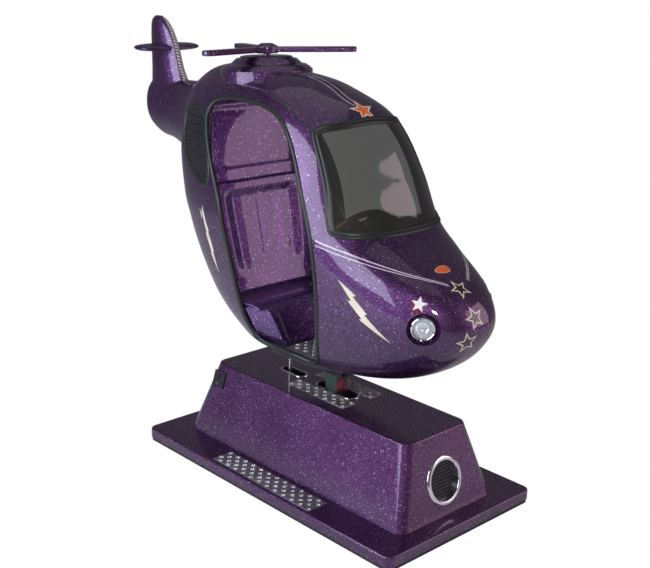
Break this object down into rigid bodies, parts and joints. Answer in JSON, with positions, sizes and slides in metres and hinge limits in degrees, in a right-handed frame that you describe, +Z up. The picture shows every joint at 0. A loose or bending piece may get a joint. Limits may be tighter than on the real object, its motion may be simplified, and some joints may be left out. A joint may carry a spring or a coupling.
{
  "type": "kiddie ride machine",
  "caption": "Coin-operated kiddie ride: a small helicopter cabin with open doorways, seat and rotor that rocks fore and aft on a tapered pedestal with a floor plate.",
  "frame": {"origin": "centre of the floor plate's footprint, on the floor", "axes": "+Z up; the nose points along -Y; +X goes across the machine, away from the side with the coin unit"},
  "size_m": [0.7, 1.696, 1.516],
  "materials": {
    "black_board": "satin",
    "black_plastic": "satin",
    "black_rubber": "satin",
    "button_green": "gloss",
    "button_red": "gloss",
    "chequer_aluminium": "satin",
    "chrome": "polished",
    "clear_lens": "polished",
    "copper_iron": "satin",
    "dark_gloss": "gloss",
    "floor_board": "satin",
    "frame_paint": "satin",
    "gelcoat": "gloss",
    "grey_paint": "satin",
    "gusset_paint": "satin",
    "post_paint": "satin",
    "smoked_glass": "polished",
    "steel": "satin",
    "wheel_yellow": "gloss"
  },
  "bodies": {
    "base": {"base_board": "black_board", "floor_plate": "gelcoat", "pedestal_shell": "gelcoat", "step_plates": "chequer_aluminium", "top_plates": "chequer_aluminium", "slot_ring_front": "chrome", "slot_ring_rear": "chrome", "port_ring": "chrome", "speaker_grille": "black_plastic", "loudspeaker": "black_plastic", "coin_plate": "black_plastic", "coin_mechanism": "steel", "cash_box": "steel", "base_frame": "frame_paint", "pillow_blocks": "grey_paint", "gear_motor": "grey_paint", "control_box": "grey_paint", "transformer": "copper_iron", "cable_gland": "black_plastic", "service_hinge": "steel", "service_hinge_pin": "steel"},
    "service_door": {"service_door": "gelcoat"},
    "service_lock": {"service_lock": "chrome"},
    "coin_button": {"coin_return_button": "chrome"},
    "crank": {"crank_disc": "steel", "crank_pin": "steel"},
    "crank_roller": {"crank_roller": "steel"},
    "rocker": {"rocker_shaft": "steel", "rocker_beam": "frame_paint", "drive_arm": "steel", "front_post": "post_paint", "post_gusset": "gusset_paint", "rear_post": "steel", "belly_plate": "frame_paint", "belly_boss": "gelcoat", "belly_pan": "black_plastic", "cabin_shell": "gelcoat", "door_trim_right": "black_rubber", "door_trim_left": "black_rubber", "side_vents": "black_rubber", "vent_trims": "black_rubber", "windscreen_gasket": "black_rubber", "windscreen": "smoked_glass", "cabin_floor": "floor_board", "cabin_mat": "chequer_aluminium", "seat": "gelcoat", "dashboard": "dark_gloss", "binnacle": "dark_gloss", "steering_column": "steel", "headlight_pods": "gelcoat", "headlight_bowls": "chrome", "headlight_rings": "chrome", "headlight_lenses": "clear_lens", "tail_boom": "gelcoat", "tail_fin": "gelcoat", "mast_fairing": "gelcoat"},
    "rotor": {"rotor": "gelcoat"},
    "steering_wheel": {"steering_wheel": "wheel_yellow"},
    "button_right": {"push_button_right": "button_red"},
    "button_left": {"push_button_left": "button_green"}
  },
  "joints": [
    {"name": "rocker_tilt", "type": "hinge", "parent": "base", "child": "rocker", "pos_m": [0, 0.085, 0.15], "axis": [1, 0, 0], "range_deg": [-5, 5]},
    {"name": "crank_turn", "type": "hinge", "parent": "base", "child": "crank", "pos_m": [0.032, 0.281, 0.15], "axis": [1, 0, 0], "range_deg": [-52, 52]},
    {"name": "roller_spin", "type": "hinge", "parent": "crank", "child": "crank_roller", "pos_m": [0, 0.305, 0.15], "axis": [1, 0, 0], "continuous": true},
    {"name": "rotor_spin", "type": "hinge", "parent": "rocker", "child": "rotor", "pos_m": [0, 0.375, 1.442], "axis": [0, 0.0523, 0.9986], "continuous": true},
    {"name": "wheel_turn", "type": "hinge", "parent": "rocker", "child": "steering_wheel", "pos_m": [0, -0.078, 0.905], "axis": [0, 0.6691, 0.7431], "continuous": true},
    {"name": "button_right_press", "type": "slide", "parent": "rocker", "child": "button_right", "axis": [0, -0.9701, -0.2425], "range_m": [0, 0.004], "stiffness_N_per_m": 300},
    {"name": "button_left_press", "type": "slide", "parent": "rocker", "child": "button_left", "axis": [0, -0.9701, -0.2425], "range_m": [0, 0.004], "stiffness_N_per_m": 300},
    {"name": "coin_return_press", "type": "slide", "parent": "base", "child": "coin_button", "axis": [0.9563, 0, -0.2924], "range_m": [0, 0.004], "stiffness_N_per_m": 300},
    {"name": "service_door_hinge", "type": "hinge", "parent": "base", "child": "service_door", "pos_m": [0.116, 0.50526, 0.16432], "axis": [0, 0.2443, -0.9697], "range_deg": [0, 100]},
    {"name": "service_lock_turn", "type": "hinge", "parent": "service_door", "child": "service_lock", "pos_m": [-0.088, 0.50003, 0.163], "axis": [0, -0.9697, -0.2443], "range_deg": [0, 90]}
  ],
  "couplings": [
    {"joint": "crank_turn", "follows": "rocker_tilt", "ratio": 10.2}
  ]
}
